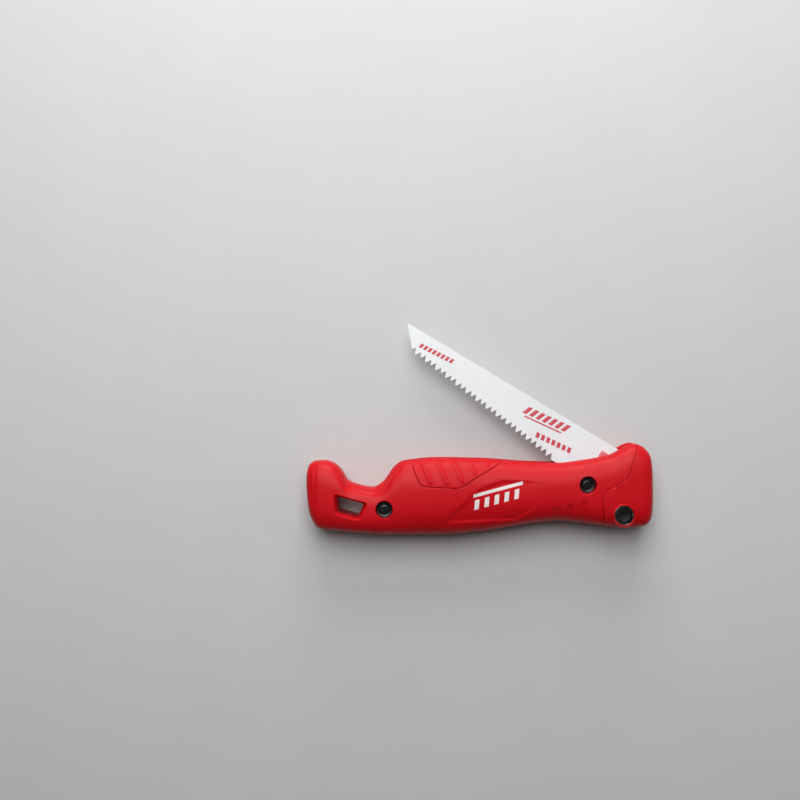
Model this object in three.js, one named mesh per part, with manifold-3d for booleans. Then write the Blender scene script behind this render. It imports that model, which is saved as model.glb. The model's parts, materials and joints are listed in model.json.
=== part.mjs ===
// Folding drywall saw: a two-shell handle on steel liners, a pointed blade held in a
// clamp that turns on a hidden pivot pin, a push button that frees the lock leaf,
// and a sprung pin that holds the blade's tang.
//
// Millimetres, +Z up. The saw lies on its rear side: the rear side's flat is z = 0.
// The fold axis is the Z axis. The handle runs from it towards -X, and the blade is
// part open, up and to the left.
//
// Two working frames are used below:
//   half frame   x and y as in the finished saw, z measured outwards from the mid plane.
//                Every side part is drawn once in it and then set on the front or rear.
//   blade frame  u from the fold axis to the blade's tip, v towards the blade's back.

import * as THREE from "three";
import { mergeVertices } from "three/addons/utils/BufferGeometryUtils.js";
import Module from "manifold-3d";

const wasm = await Module();
wasm.setup();

// ---------------------------------------------------------------- driving dimensions

// Handle
const handleLength = 197; // butt to nose
const handleHeight = 50; // nose top to nose bottom, the tallest stretch
const handleThickness = 30; // side to side over the grip
const wall = 3.2; // plastic over the hollow
const drawnLength = 197; // the outline's points below are written for these two
const drawnHeight = 50;

// Blade
const bladeThickness = 1.3;
const bladeWidth = 25; // at the heel, back to tooth tips
const tipWidth = 13; // where the pointed end begins
const backLine = 16.3; // back edge, from the fold axis
const tangWidth = 12.7;
const tangEnd = 7; // the tang stops this far from the fold axis
const toothPitch = 25.4 / 7; // seven teeth to the inch
const toothDepth = 3.2;
const openAngle = 31; // degrees the blade stands open at rest

// Clamp and pivot
const hubRadius = 13.4;
const clampLength = 21.7; // clamp's end, from the fold axis
const clampHalfWidth = 10.9;
const plateThickness = 1.6;
const pinRadius = 3;
const bushWall = 1.4;
const washerRadius = 7;

// Liners and slot
const slotWidth = 10;
const linerThickness = 1.5;
const linerInset = 3.3; // liner's edge inside the handle's outline
const slotFloor = 19.5; // slot's floor under the fold axis

// Lock
const buttonDrop = 15.4; // button's axis below the fold axis
const buttonRadius = 4.6;
const buttonTravel = 3;
const shaftRadius = 2;
const leafThickness = 1.2;
const leafEnd = 10; // width of the leaf's locking end

// Small parts
const screwHeadRadius = 4.5;
const screwShankRadius = 1.5;
const screwRecessRadius = 4.9;
const rivetRadius = 1.5;
const padDepth = 1.4;
const padProud = 0.6; // grip pad stands this far out of the front
const panelDepth = 0.5; // the side panel is sunk this far into the front

// Clearances
const fit = 0.3; // between a part and the recess or bore it sits in
const slide = 0.1; // between faces that slide on each other

// ---------------------------------------------------------------- derived sizes

const frontDepth = handleThickness / 2 - padProud; // mid plane to the front shell's face
const rearDepth = handleThickness / 2;
const midPlane = rearDepth;
const slotHalf = slotWidth / 2;
const linerFace = slotHalf + linerThickness; // liner's outer face, from the mid plane
const bladeHalf = bladeThickness / 2;
const clampFace = bladeHalf + plateThickness; // clamp's flank, from the mid plane
const along = (x) => (x * handleLength) / drawnLength;
const across = (y) => (y * handleHeight) / drawnHeight;

// Where the features sit, from the fold axis
const noseScrew = [along(-23.3), across(1.7)];
const buttScrew = [along(-138), across(-12.2)];
const buttonPlace = [along(-3.1), -buttonDrop];
const lanyardCentre = [along(-157.8), across(-11.4)];
const stopPlaces = [-10.5, 10.5].map((x) => [x, -clampHalfWidth - fit - rivetRadius]);

// The handle's edge above and below the fold axis, each as points [x, y] from butt to nose.
const topEdge = [
  [-182.4, 8.5], [-181.2, 12.6], [-177.5, 14.7], [-172.1, 15], [-168, 13.9], [-164, 11],
  [-161.7, 7.9], [-159.5, 4], [-154.8, 1.6], [-144.8, -0.4], [-139.3, 2.4], [-132, 12.1],
  [-126.9, 15.2], [-106.6, 17.1], [-83, 16.7], [-57.3, 14.9], [-39.3, 14.3], [-23.1, 16.1],
  [-10.1, 18.7], [4.3, 25], [8.7, 23.6], [11.1, 21.6], [13.4, 18.5], [14.2, 12.1], [14.6, 6],
];
const bottomEdge = [
  [-182.4, -3], [-181.6, -11.6], [-180.2, -17.6], [-175.7, -23.9], [-166.9, -25.2],
  [-129, -27.4], [-106, -27.4], [-83, -25.6], [-50.1, -20.5], [-39.2, -19.6], [-19, -21.5],
  [0, -23.6], [10.1, -22.3], [13.4, -19.9], [14.2, -17.6], [14.6, -12.7],
];
// Share of the full half thickness along the handle: thinner at the butt, rounded at both ends.
const depthShare = [
  [-182.4, 0.5], [-181.2, 0.68], [-178, 0.82], [-168, 0.87], [-132, 0.91], [-112, 1],
  [8, 1], [11.1, 0.94], [13.4, 0.78], [14.6, 0.56],
];
const stations = [
  -182.4, -181.9, -181.2, -180.2, -178, -175.7, -172.1, -168, -164, -161.7, -159.5, -157,
  -154.8, -150, -144.8, -142, -139.3, -136, -132, -129.5, -126.9, -120, -112, -95, -83, -70,
  -57.3, -39.3, -23.1, -16, -10.1, -3, 4.3, 8, 9.8, 11.1, 12.3, 13.4, 14.2, 14.6,
];

// ---------------------------------------------------------------- geometry helpers

/** A geometry as a manifold solid facing out, whichever way its faces were wound. */
function solidOf(geometry) {
  const bare = geometry.clone();
  bare.deleteAttribute("normal");
  bare.deleteAttribute("uv");
  const merged = mergeVertices(bare, 1e-4);
  const source = merged.index.array;
  const corners = [];
  for (let i = 0; i < source.length; i += 3) {
    const [a, b, c] = [source[i], source[i + 1], source[i + 2]];
    if (a !== b && b !== c && c !== a) {
      corners.push([a, b, c]);
    }
  }
  const make = (triangles) =>
    new wasm.Manifold(
      new wasm.Mesh({
        numProp: 3,
        vertProperties: new Float32Array(merged.attributes.position.array),
        triVerts: new Uint32Array(triangles.flat()),
      }),
    );
  const solid = make(corners);
  return solid.volume() < 0 ? make(corners.map(([a, b, c]) => [a, c, b])) : solid;
}

/** A manifold solid as a three.js geometry. */
function geometryOf(solid) {
  const mesh = solid.getMesh();
  const geometry = new THREE.BufferGeometry();
  geometry.setAttribute("position", new THREE.BufferAttribute(mesh.vertProperties, 3));
  geometry.setIndex(new THREE.BufferAttribute(mesh.triVerts, 1));
  return geometry;
}

/** The solid between z = low and z = high over a shape or a list of points. */
function prism(outline, low, high, segments = 8) {
  const shape = Array.isArray(outline)
    ? new THREE.Shape(outline.map(([x, y]) => new THREE.Vector2(x, y)))
    : outline;
  const settings = { depth: high - low, bevelEnabled: false, curveSegments: segments };
  const geometry = new THREE.ExtrudeGeometry(shape, settings);
  return solidOf(geometry.translate(0, 0, low));
}

/** A round bar along z. */
function bar([x, y], radius, low, high, segments = 24) {
  const geometry = new THREE.CylinderGeometry(radius, radius, high - low, segments);
  return solidOf(geometry.rotateX(Math.PI / 2).translate(x, y, (low + high) / 2));
}

/** A turned solid about the z line through a place, from a profile of [radius, z]. */
function turned([x, y], profile, segments = 28) {
  const points = profile.map(([r, z]) => new THREE.Vector2(r, z));
  const geometry = new THREE.LatheGeometry(points, segments);
  return solidOf(geometry.rotateX(Math.PI / 2).translate(x, y, 0));
}

/** A box between two corners. */
function box([x0, y0, z0], [x1, y1, z1]) {
  const geometry = new THREE.BoxGeometry(x1 - x0, y1 - y0, z1 - z0);
  return solidOf(geometry.translate((x0 + x1) / 2, (y0 + y1) / 2, (z0 + z1) / 2));
}

/** A bar with a flat head of a larger radius at its outer end. */
function headed(place, shank, head, low, shoulder, high) {
  return bar(place, shank, low, shoulder + slide).add(bar(place, head, shoulder, high));
}

/** The value at x of a smooth line through points [x, y] that never overshoots them. */
function smoothAt(points, x) {
  const last = points.length - 1;
  if (x <= points[0][0]) return points[0][1];
  if (x >= points[last][0]) return points[last][1];
  const i = points.findIndex((p) => p[0] > x) - 1;
  const rise = (k) => (points[k + 1][1] - points[k][1]) / (points[k + 1][0] - points[k][0]);
  const tangent = (k) => {
    if (k === 0) return rise(0);
    if (k === last) return rise(last - 1);
    const [before, after] = [rise(k - 1), rise(k)];
    return before * after <= 0 ? 0 : (2 * before * after) / (before + after);
  };
  const span = points[i + 1][0] - points[i][0];
  const t = (x - points[i][0]) / span;
  const [t2, t3] = [t * t, t * t * t];
  return (
    (2 * t3 - 3 * t2 + 1) * points[i][1] +
    (t3 - 2 * t2 + t) * span * tangent(i) +
    (3 * t2 - 2 * t3) * points[i + 1][1] +
    (t3 - t2) * span * tangent(i + 1)
  );
}

const topAt = (x) => across(smoothAt(topEdge, x));
const bottomAt = (x) => across(smoothAt(bottomEdge, x));

// ---------------------------------------------------------------- the handle's body

const cornerSteps = 6;

/** One section of a half body: points [y, z] from the lower edge round to the upper. */
function halfSection(x, depth, grow) {
  const top = topAt(x) + grow;
  const bottom = bottomAt(x) - grow;
  const corner = Math.min(11, 0.36 * (top - bottom));
  const reach = depth * smoothAt(depthShare, x) + grow;
  const points = [];
  for (let i = 0; i <= cornerSteps; i++) {
    const turn = (i / cornerSteps) * (Math.PI / 2);
    points.push([bottom + corner * (1 - Math.cos(turn)), reach * Math.sin(turn)]);
  }
  for (let i = cornerSteps; i >= 0; i--) {
    const turn = (i / cornerSteps) * (Math.PI / 2);
    points.push([top - corner * (1 - Math.cos(turn)), reach * Math.sin(turn)]);
  }
  return points;
}

/** Half of the handle's outer body, from the mid plane outwards, in the half frame. */
function halfBody(depth, grow = 0) {
  const rings = stations.map((x) =>
    halfSection(x, depth, grow).map(([y, z]) => [along(x), y, z]),
  );
  const size = rings[0].length;
  const positions = rings.flat(2);
  const index = [];
  for (let r = 0; r + 1 < rings.length; r++) {
    for (let k = 0; k < size; k++) {
      const next = (k + 1) % size;
      const [a, b] = [r * size + k, r * size + next];
      index.push(a, b, b + size, a, b + size, a + size);
    }
  }
  const lastRing = (rings.length - 1) * size;
  for (let k = 1; k + 1 < size; k++) {
    index.push(0, k + 1, k);
    index.push(lastRing, lastRing + k, lastRing + k + 1);
  }
  const geometry = new THREE.BufferGeometry();
  geometry.setAttribute("position", new THREE.Float32BufferAttribute(positions, 3));
  geometry.setIndex(index);
  return solidOf(geometry);
}

/** The handle's outline set inwards, between two x places, as points. */
function insetOutline(inset, from, to, steps = 16) {
  const places = Array.from({ length: steps + 1 }, (_, i) => from + ((to - from) * i) / steps);
  const lower = places.map((x) => [along(x), bottomAt(x) + inset]);
  const upper = places.map((x) => [along(x), topAt(x) - inset]).reverse();
  return [...lower, ...upper];
}

// The nose caps lie on the fold-axis side of this seam, written from its upper end down.
const seamLine = [
  [6.2, 28], [4.9, 21.8], [3.3, 17.6], [1.2, 12.1], [0, 7.1], [-1.6, 4.7], [-9.9, 0],
  [-13, -2], [-14.6, -4], [-15.2, -6.8], [-15, -10.7], [-14.1, -15.2], [-12.6, -28],
];

/** Everything on the nose side of the seam, with the seam moved back by a gap. */
function noseSide(gap) {
  const seam = seamLine.map(([x, y]) => [x - gap, across(y) - gap / 2]);
  return prism([...seam, [30, -across(30)], [30, across(30)]], -1, rearDepth + 5);
}

// The slot's outline: open at the top and at the nose, floored above the bottom edge.
const slotReach = along(-136);
const tipRoom = along(-142); // the slot runs out into the finger notch for the blade's point
const slotOutline = [
  [tipRoom, across(40)], [tipRoom, 0], [slotReach, 0], [slotReach, across(-9)],
  [along(-128), across(-17)], [along(-24), across(-17.3)], [along(-12), -slotFloor],
  [along(30), -slotFloor], [along(30), across(40)],
];

const linerFrom = -126;
const linerTo = 11.2;

/** What both shells and nose caps leave free: the slot, one liner and the heads on it. */
function innerSpace() {
  const slot = prism(slotOutline, -1, slotHalf);
  const seat = prism(insetOutline(linerInset - fit, linerFrom - fit, linerTo + fit), 1, linerFace);
  const pinHead = bar([0, 0], pinHeadRadius + fit, 1, linerFace + pinHeadHeight + fit);
  const heads = [...spacerPlaces, ...leafRivetPlaces, ...stopPlaces].map((place) =>
    bar(place, rivetRadius + 1 + fit, 1, linerFace + rivetHeadHeight + fit, 16),
  );
  return heads.reduce((space, head) => space.add(head), slot.add(seat).add(pinHead));
}

// ---------------------------------------------------------------- grip pad and side panel

/** The grip pad's outline, grown by a gap, down the side of the grip. */
function padOutline(gap) {
  const shape = new THREE.Shape();
  const at = (x, y) => [along(x), across(y)];
  shape.moveTo(...at(-122.2 - gap, 30));
  shape.lineTo(...at(-122.2 - gap, 13));
  shape.quadraticCurveTo(...at(-120 - gap, 0.9 - gap), ...at(-115, 0.9 - gap));
  shape.lineTo(...at(-96.1, -gap));
  shape.quadraticCurveTo(...at(-93.4, -gap), ...at(-86.5 + gap, 5.9));
  shape.lineTo(...at(-78.7 + gap, 10.2));
  shape.quadraticCurveTo(...at(-72.3 + gap, 14), ...at(-69.9 + gap, 16.5));
  shape.lineTo(...at(-69.9 + gap, 30));
  shape.closePath();
  return shape;
}

/** The recess for a pad in a half body. */
function padRecess(depth) {
  const region = prism(padOutline(fit), slotHalf + padDepth + fit, rearDepth + 5);
  return region.subtract(halfBody(depth, -padDepth));
}

const padRibs = [-115.5, -106.5, -97.7, -88.9];

/** A grip pad in the half frame, with slanted grooves across its face. */
function gripPad(depth, proud) {
  const region = prism(padOutline(0), slotHalf + padDepth + 2 * fit, rearDepth + 5);
  const skin = halfBody(depth, proud).subtract(halfBody(depth, -padDepth + slide));
  let pad = region.intersect(skin);
  for (const x of padRibs) {
    const groove = box([-0.8, -8, depth + proud - 0.7], [0.8, 8, depth + 5]);
    const turn = groove.rotate([0, 0, -22]);
    pad = pad.subtract(turn.translate([along(x) + 3, across(6.5), 0]));
  }
  return pad;
}

/** What is taken off the front shell for the side panel below the grip. */
function sidePanel() {
  const outline = [
    [-105.3, -20], [-83.8, -18.6], [-63.1, -17.9], [-48.1, -8], [-48.1, 3.6], [-53.6, 3.6],
    [-71.2, 4], [-83.5, -0.4],
  ];
  const region = prism(outline.map(([x, y]) => [along(x), across(y)]), wall, rearDepth + 5);
  return region.subtract(halfBody(frontDepth, -panelDepth));
}

// ---------------------------------------------------------------- shells and nose caps

/** The slanted lanyard opening. */
function lanyardOutline() {
  const [halfLength, halfWidth, lean] = [7.2, 4.4, 1.4];
  const shape = new THREE.Shape();
  shape.moveTo(-halfLength - lean + 3, halfWidth);
  shape.quadraticCurveTo(-halfLength - lean, halfWidth, -halfLength, halfWidth - 3);
  shape.lineTo(-halfLength + lean, -halfWidth + 3);
  shape.quadraticCurveTo(-halfLength + lean, -halfWidth, -halfLength + lean + 3, -halfWidth);
  shape.lineTo(halfLength - 2, -halfWidth);
  shape.quadraticCurveTo(halfLength + lean, -halfWidth, halfLength, -halfWidth + 3);
  shape.lineTo(halfLength - lean, halfWidth - 2);
  shape.quadraticCurveTo(halfLength - lean, halfWidth, halfLength - lean - 3, halfWidth);
  shape.closePath();
  return shape;
}

/** The lanyard hole as a solid through one half. */
function lanyardHole() {
  const hole = prism(lanyardOutline(), -1, rearDepth + 5, 5);
  return hole.rotate([0, 0, -15]).translate([...lanyardCentre, 0]);
}

/** The hollow behind a shell's outer wall, open towards the liner. */
function hollow(depth) {
  return prism(insetOutline(wall + 4, -118, -31, 12), linerFace - slide, depth - wall);
}

const screwShoulder = (depth) => depth - 5.4; // under a screw's head
const screwTop = (depth) => depth - 3; // a screw head's outer face

/** The stepped hole for a shell screw. */
function screwHole(place, depth) {
  const recess = bar(place, screwRecessRadius, screwShoulder(depth), depth + 5);
  return recess.add(bar(place, screwShankRadius + fit, -1, screwShoulder(depth) + 1));
}

/** A handle shell in the half frame. */
function shell(depth, isFront) {
  let body = halfBody(depth);
  if (isFront) {
    body = body.subtract(sidePanel());
  }
  body = body.subtract(noseSide(fit)).subtract(innerSpace());
  body = body.subtract(hollow(depth)).subtract(padRecess(depth));
  body = body.subtract(lanyardHole()).subtract(screwHole(noseScrew, depth));
  if (isFront) {
    return body.subtract(screwHole(buttScrew, depth));
  }
  const insertBore = bar(buttScrew, insertRadius + fit, -1, insertDepth + fit);
  return body.subtract(insertBore);
}

const insertRadius = 3;
const insertDepth = 9;
const lipRadius = 6.8;
const recessRadius = buttonRadius + 1.1;
const lipHeight = (depth) => depth + padProud - slide;
const capPegs = [[8, 11.5], [-6.5, -7.5]].map(([x, y]) => [x, across(y)]);

/** A nose cap in the half frame, pegged into its liner. */
function noseCap(depth, isFront) {
  let cap = halfBody(depth).intersect(noseSide(0));
  if (isFront) {
    cap = cap.add(bar(buttonPlace, lipRadius, linerFace, lipHeight(depth), 40));
  }
  cap = cap.subtract(innerSpace());
  for (const place of capPegs) {
    cap = cap.add(bar(place, rivetRadius, slotHalf, linerFace + slide, 20));
  }
  if (isFront) {
    cap = cap.subtract(bar(buttonPlace, recessRadius, linerFace - slide, depth + 5, 40));
  }
  return cap;
}

// ---------------------------------------------------------------- liners and their fixings

const pinHeadRadius = 4.6;
const pinHeadHeight = 1.5;
const rivetHeadHeight = 0.9;
const spacerPlaces = [[-118, -12.5], [-96, -13.2], [-74, -12.6]].map(([x, y]) => [
  along(x),
  across(y),
]);
const leafRivetPlaces = [[-58, -11.5], [-50, -12]].map(([x, y]) => [along(x), across(y)]);

/** A steel liner in the half frame, with every hole it is drilled with. */
function liner(isFront) {
  let plate = prism(insetOutline(linerInset, linerFrom, linerTo), slotHalf, linerFace);
  const drill = (place, radius) => {
    plate = plate.subtract(bar(place, radius + fit, 1, linerFace + 1, 16));
  };
  drill([0, 0], pinRadius);
  drill(noseScrew, screwShankRadius);
  capPegs.forEach((place) => drill(place, rivetRadius));
  stopPlaces.forEach((place) => drill(place, rivetRadius));
  spacerPlaces.forEach((place) => drill(place, rivetRadius));
  if (isFront) {
    drill(buttonPlace, shaftRadius);
  } else {
    leafRivetPlaces.forEach((place) => drill(place, rivetRadius));
  }
  return plate;
}

/** The bar that keeps the two liners apart under the closed blade. */
function spineSpacer() {
  const outline = [[-124, -16.6], [-70, -16.6], [-70, -10.4], [-124, -9.4]];
  const plate = prism(outline.map(([x, y]) => [along(x), across(y)]), -slotHalf, slotHalf);
  return spacerPlaces.reduce(
    (body, place) => body.subtract(bar(place, rivetRadius + fit, -slotWidth, slotWidth, 16)),
    plate,
  );
}

/** A rivet through both liners. */
const linerRivet = (place) => {
  const half = headed(place, rivetRadius, rivetRadius + 1, -slide, linerFace,
    linerFace + rivetHeadHeight);
  return half.add(half.mirror([0, 0, 1]));
};

// ---------------------------------------------------------------- lock

const leafFace = -slotHalf + leafThickness; // leaf's inner face in the whole frame, from mid
const shaftEnd = leafFace + slide * 3 + buttonTravel; // shaft's inner end at rest
const notchFloor = hubRadius - 1.9; // bottom of the hub's notches, from the fold axis
const leafTop = -notchFloor - fit; // the locking end's edge under the notch

/** The leaf spring that locks the hub, lying flexed on the rear liner. */
function lockLeaf() {
  const half = leafEnd / 2;
  const outline = [
    [half, -19.2], [half, leafTop], [-half, leafTop], [-half, -15], [-20, -14.4],
    [along(-62), across(-8.5)], [along(-62), across(-14.5)], [-22, -16.9], [-12, -19.2],
  ];
  const plate = prism(outline, -slotHalf, leafFace);
  return leafRivetPlaces.reduce(
    (body, place) => body.subtract(bar(place, rivetRadius + fit, -slotWidth, 0, 24)),
    plate,
  );
}

const ballRadius = 1;

/** The detent ball pressed on the leaf, its crown just off the clamp's flank. */
function detentBall() {
  const place = [0, -hubRadius + 0.6];
  const crown = -clampFace - slide - leafFace;
  const arc = Array.from({ length: 7 }, (_, i) => {
    const turn = (i / 6) * (Math.PI / 2);
    return [ballRadius * Math.cos(turn), leafFace + crown * Math.sin(turn)];
  });
  arc[6][0] = 0;
  return turned(place, [[0, leafFace], ...arc], 20);
}

/** A rivet through the leaf and the rear liner. */
function leafRivet(place) {
  const shank = bar(place, rivetRadius, -linerFace - slide, leafFace + slide);
  const outer = bar(place, rivetRadius + 1, -linerFace - rivetHeadHeight, -linerFace);
  return shank.add(outer).add(bar(place, rivetRadius + 1, leafFace, leafFace + 0.7));
}

const buttonTop = frontDepth - 1.2;
const flangeBottom = linerFace + buttonTravel + slide;
const flangeTop = flangeBottom + 1.5;

/** The push button with its flange, hollow skirt and shaft. */
function lockButton() {
  const springRoom = buttonRadius - 1.1;
  const profile = [
    [0, shaftEnd], [shaftRadius - 0.4, shaftEnd], [shaftRadius, shaftEnd + 0.4],
    [shaftRadius, buttonTop - 1.8], [springRoom, buttonTop - 1.8], [springRoom, flangeBottom],
    [recessRadius - fit, flangeBottom], [recessRadius - fit, flangeTop],
    [buttonRadius, flangeTop], [buttonRadius, buttonTop - 0.8],
    [buttonRadius - 0.8, buttonTop], [0, buttonTop - 0.3],
  ];
  return turned(buttonPlace, profile, 36);
}

/** The ring that keeps the button in its recess. */
function buttonBezel() {
  const [inner, outer] = [buttonRadius + fit, recessRadius - 0.05];
  const top = lipHeight(frontDepth) - 0.6;
  const profile = [[inner, top - 2], [outer, top - 2], [outer, top], [inner, top], [inner, top - 2]];
  return turned(buttonPlace, profile, 40);
}

/** A helix for the button's spring. */
class Coil extends THREE.Curve {
  constructor(radius, low, high, turns) {
    super();
    Object.assign(this, { radius, low, high, turns });
  }

  getPoint(t, target = new THREE.Vector3()) {
    const turn = t * this.turns * Math.PI * 2;
    const height = this.low + (this.high - this.low) * t;
    return target.set(this.radius * Math.cos(turn), this.radius * Math.sin(turn), height);
  }
}

/** The button's return spring between the front liner and the button's crown. */
function buttonSpring() {
  const wire = 0.3;
  const low = linerFace + wire + slide;
  const high = buttonTop - 1.8 - wire - slide;
  const section = new THREE.Shape();
  section.absarc(0, 0, wire, 0, Math.PI * 2);
  const geometry = new THREE.ExtrudeGeometry(section, {
    steps: 48,
    curveSegments: 3,
    extrudePath: new Coil(shaftRadius + 0.75, low, high, 3.5),
  });
  return solidOf(geometry.translate(...buttonPlace, 0));
}

// ---------------------------------------------------------------- blade and clamp

const bladeReach = along(155); // tip, from the fold axis
const pointStart = bladeReach - 0.85 * tipWidth; // where the tooth row meets the pointed end
const heel = 42; // first tooth by the handle
const rootEdge = 14; // the blade's square root, above the tang
const taper = (bladeWidth - tipWidth) / (pointStart - heel);
const toothLine = (u) => backLine - bladeWidth + (u - heel) * taper; // tooth tips at u

/** The blade's outline in the blade frame, optionally grown round the tang. */
function bladeOutline() {
  const teeth = [];
  for (let u = heel; u + toothPitch < pointStart; u += toothPitch) {
    teeth.push([u, toothLine(u) + toothDepth]);
    teeth.push([u + toothPitch * 0.62, toothLine(u + toothPitch * 0.62)]);
  }
  const halfTang = tangWidth / 2;
  return [
    [tangEnd, -halfTang], [heel - 12, -halfTang], [heel - 3, toothLine(heel - 3) + 1],
    ...teeth, [pointStart, toothLine(pointStart) + toothDepth],
    [bladeReach - 0.6, backLine - 1.2], [bladeReach, backLine],
    [rootEdge, backLine], [rootEdge, halfTang], [tangEnd, halfTang],
  ];
}

const tangPinPlace = [14.6, 0];
const tangPinRadius = 1.8;

/** The saw blade in the blade frame. */
function sawBlade() {
  const plate = prism(bladeOutline(), -bladeHalf, bladeHalf);
  return plate.subtract(bar(tangPinPlace, tangPinRadius + fit, -2, 2, 24));
}

/** The hub and its arm in the blade frame, between two heights. */
function clampBody(low, high) {
  const arm = box([0, -clampHalfWidth, low], [clampLength, clampHalfWidth, high]);
  return bar([0, 0], hubRadius, low, high, 48).add(arm);
}

const bushRadius = pinRadius + fit + bushWall;
const clampRivetPlaces = [[-7.6, -6], [-7.6, 6], [8.8, -8.7], [8.8, 8.7]];

/** Drills a clamp layer for the bush and the clamp rivets. */
function drillClamp(body) {
  const bored = body.subtract(bar([0, 0], bushRadius + fit, -slotWidth, slotWidth));
  return clampRivetPlaces.reduce(
    (rest, place) => rest.subtract(bar(place, 1 + fit, -slotWidth, slotWidth, 16)),
    bored,
  );
}

/** Cuts the two notches in the hub's rim that the lock leaf drops into. */
function notched(body) {
  const half = leafEnd / 2 + fit;
  const cut = box([-half, notchFloor, -slotWidth], [half, hubRadius + 2, slotWidth]);
  return body.subtract(cut).subtract(cut.mirror([0, 1, 0]));
}

/** The red front plate of the clamp, with rails that guide the release slider. */
function frontClampPlate() {
  let plate = drillClamp(notched(clampBody(bladeHalf, clampFace)));
  plate = plate.subtract(bar(tangPinPlace, tangPinRadius + fit, -2, slotWidth, 24));
  for (const side of [-1, 1]) {
    const edges = [sliderHalfWidth + fit, sliderHalfWidth + 1.5].map((v) => side * v);
    const [low, high] = [Math.min(...edges), Math.max(...edges)];
    plate = plate.add(box([12, low, clampFace - slide], [20, high, clampFace + 1.1]));
  }
  return plate;
}

/** The rear plate of the clamp. */
function rearClampPlate() {
  return drillClamp(notched(clampBody(-clampFace, -bladeHalf)));
}

/** The layer between the clamp's plates, cut out for the tang and the blade's root. */
function clampCore() {
  const side = tangWidth / 2 + fit;
  const tang = box([tangEnd - fit, -side, -2], [clampLength + 2, side, 2]);
  const root = box([rootEdge - fit, 0, -2], [clampLength + 2, clampHalfWidth + 2, 2]);
  return drillClamp(notched(clampBody(-bladeHalf, bladeHalf))).subtract(tang).subtract(root);
}

/** A rivet through the clamp's three layers. */
function clampRivet(place) {
  const half = headed(place, 1, 1.7, -slide, clampFace, clampFace + 0.5);
  return half.add(half.mirror([0, 0, 1]));
}

const sliderHalfWidth = 4.6;
const sliderTravel = 3;

/** The slider that lifts the tang pin, with a thumb ridge and a slot round the pin. */
function releaseSlider() {
  const low = clampFace + slide;
  const plate = box([8.6, -sliderHalfWidth, low], [20.4, sliderHalfWidth, low + 0.7]);
  const ridge = box([18.6, -sliderHalfWidth, low], [20.4, sliderHalfWidth, low + 1.9]);
  const half = tangPinRadius + fit;
  const slotStart = tangPinPlace[0] - sliderTravel - half;
  const slot = box([slotStart, -half, low - 1], [16.3, half, low + 3]);
  return plate.add(ridge).subtract(slot);
}

/** The pin that holds the tang, its head riding on the slider. */
function tangPin() {
  const neck = 1.2;
  const low = -bladeHalf + 0.25;
  const headLow = clampFace + slide + 0.7 + slide;
  const stem = bar(tangPinPlace, tangPinRadius, low, clampFace - 0.3, 24);
  const neckBar = bar(tangPinPlace, neck, clampFace - 0.4, headLow + slide, 24);
  return stem.add(neckBar).add(bar(tangPinPlace, 2.8, headLow, headLow + 0.5, 24));
}

// ---------------------------------------------------------------- screws and pivot

/** A shell screw in the half frame with a cross recess in its head. */
function shellScrew(place, depth, inner) {
  const shoulder = screwShoulder(depth);
  let screw = headed(place, screwShankRadius, screwHeadRadius, inner, shoulder, screwTop(depth));
  const [x, y] = place;
  const top = screwTop(depth);
  for (const [w, h] of [[2.1, 0.5], [0.5, 2.1]]) {
    screw = screw.subtract(box([x - w, y - h, top - 1.1], [x + w, y + h, top + 1]));
  }
  return screw;
}

/** The threaded insert that the butt screw turns into, in the rear half's frame. */
function buttInsert() {
  const body = bar(buttScrew, insertRadius, 0, insertDepth);
  return body.subtract(bar(buttScrew, screwShankRadius + fit, -1, insertDepth + 1));
}

/** The pivot pin with a head outside each liner. */
function pivotPin() {
  const top = linerFace + pinHeadHeight;
  const half = headed([0, 0], pinRadius, pinHeadRadius, -slide, linerFace, top);
  return half.add(half.mirror([0, 0, 1]));
}

/** A ring about the fold axis. */
function ring(inner, outer, low, high) {
  return bar([0, 0], outer, low, high).subtract(bar([0, 0], inner, low - 1, high + 1));
}

// ---------------------------------------------------------------- assembly

const group = new THREE.Group();
group.name = "folding_drywall_saw";

const finishes = {
  redPlastic: { color: 0xc4182a, roughness: 0.42 },
  redMetal: { color: 0xb81a2c, roughness: 0.4, metalness: 0.2 },
  black: { color: 0x151515, roughness: 0.5 },
  steel: { color: 0x9a9da1, roughness: 0.35, metalness: 1 },
  spring: { color: 0x77797c, roughness: 0.3, metalness: 1 },
  white: { color: 0xe8eaec, roughness: 0.4 },
  brass: { color: 0xb08d4a, roughness: 0.4, metalness: 1 },
  rubber: { color: 0xb01626, roughness: 0.75 },
};

/** Adds a solid to the saw as one named mesh. */
function add(name, solid, finish) {
  const mesh = new THREE.Mesh(geometryOf(solid), new THREE.MeshStandardMaterial(finish));
  mesh.name = name;
  group.add(mesh);
}

const onFront = (solid) => solid.translate([0, 0, midPlane]);
const onRear = (solid) => solid.mirror([0, 0, 1]).translate([0, 0, midPlane]);

/** Turns a solid from the blade frame to where the blade stands. */
function onBlade(solid) {
  const flipped = solid.mirror([1, 0, 0]);
  return flipped.rotate([0, 0, -openAngle]).translate([0, 0, midPlane]);
}

add("front_shell", onFront(shell(frontDepth, true)), finishes.redPlastic);
add("rear_shell", onRear(shell(rearDepth, false)), finishes.redPlastic);
add("front_nose_cap", onFront(noseCap(frontDepth, true)), finishes.redPlastic);
add("rear_nose_cap", onRear(noseCap(rearDepth, false)), finishes.redPlastic);
add("front_grip_pad", onFront(gripPad(frontDepth, padProud)), finishes.rubber);
add("rear_grip_pad", onRear(gripPad(rearDepth, 0)), finishes.rubber);

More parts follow.
